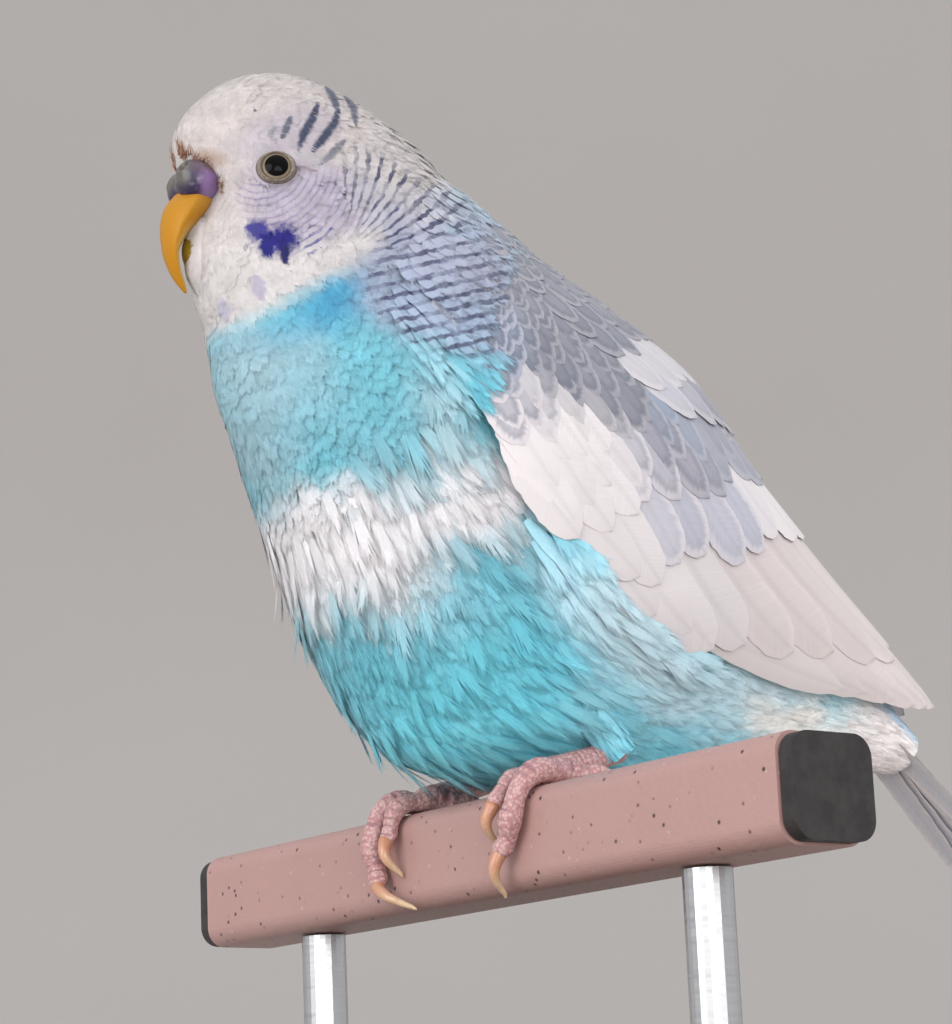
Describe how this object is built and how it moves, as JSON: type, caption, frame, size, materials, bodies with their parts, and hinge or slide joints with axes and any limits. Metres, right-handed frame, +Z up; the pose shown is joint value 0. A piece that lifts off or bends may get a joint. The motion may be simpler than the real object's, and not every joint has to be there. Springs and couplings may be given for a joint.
{
  "type": "budgerigar",
  "caption": "Life-size still model of a pied sky-blue and white budgerigar gripping a short cut length of square rail, held by a plain display stand.",
  "frame": {"origin": "centre of the underside of the stand's base, on the floor", "axes": "+Z up, the bird faces -Y, +X is its left and runs along the perch"},
  "size_m": [0.13, 0.1736, 0.1498],
  "materials": {
    "feathers_white": "soft white feathers, matt",
    "feathers_barred": "white feathers barred with slate and grey-blue, matt",
    "feathers_blue": "turquoise and sky-blue feathers with white patches, matt",
    "feathers_wing": "white wing feathers, some with grey-blue centres, smooth and matt",
    "bill": "orange-yellow horn, smooth and glossy",
    "cere": "mottled violet and lilac skin, waxy",
    "eye": "black pupil in a narrow cream iris, wet gloss",
    "foot_skin": "pink scaly skin with pale crusted scales",
    "claw": "translucent horn, orange to pale yellow",
    "rail": "powder-coated pinkish brown with fine dark and pale specks",
    "plug": "dark matt plastic",
    "stand_wood": "dark stained and lacquered wood",
    "stand_steel": "brushed steel"
  },
  "bodies": {
    "root": {"head": "feathers_white", "neck": "feathers_barred", "torso": "feathers_blue", "rump": "feathers_white", "cere": "cere", "bill_upper": "bill", "bill_lower": "bill", "eye_left": "eye", "eye_right": "eye", "wing_left": "feathers_wing", "wing_right": "feathers_wing", "tail": "feathers_wing", "leg_left": "feathers_blue", "leg_right": "feathers_blue", "foot_left": "foot_skin", "foot_right": "foot_skin", "claw_left_1": "claw", "claw_left_2": "claw", "claw_left_3": "claw", "claw_left_4": "claw", "claw_right_1": "claw", "claw_right_2": "claw", "claw_right_3": "claw", "claw_right_4": "claw", "perch_rail": "rail", "perch_plug_left": "plug", "perch_plug_right": "plug", "stand_base": "stand_wood", "stand_rod_left": "stand_steel", "stand_rod_right": "stand_steel"}
  },
  "joints": []
}
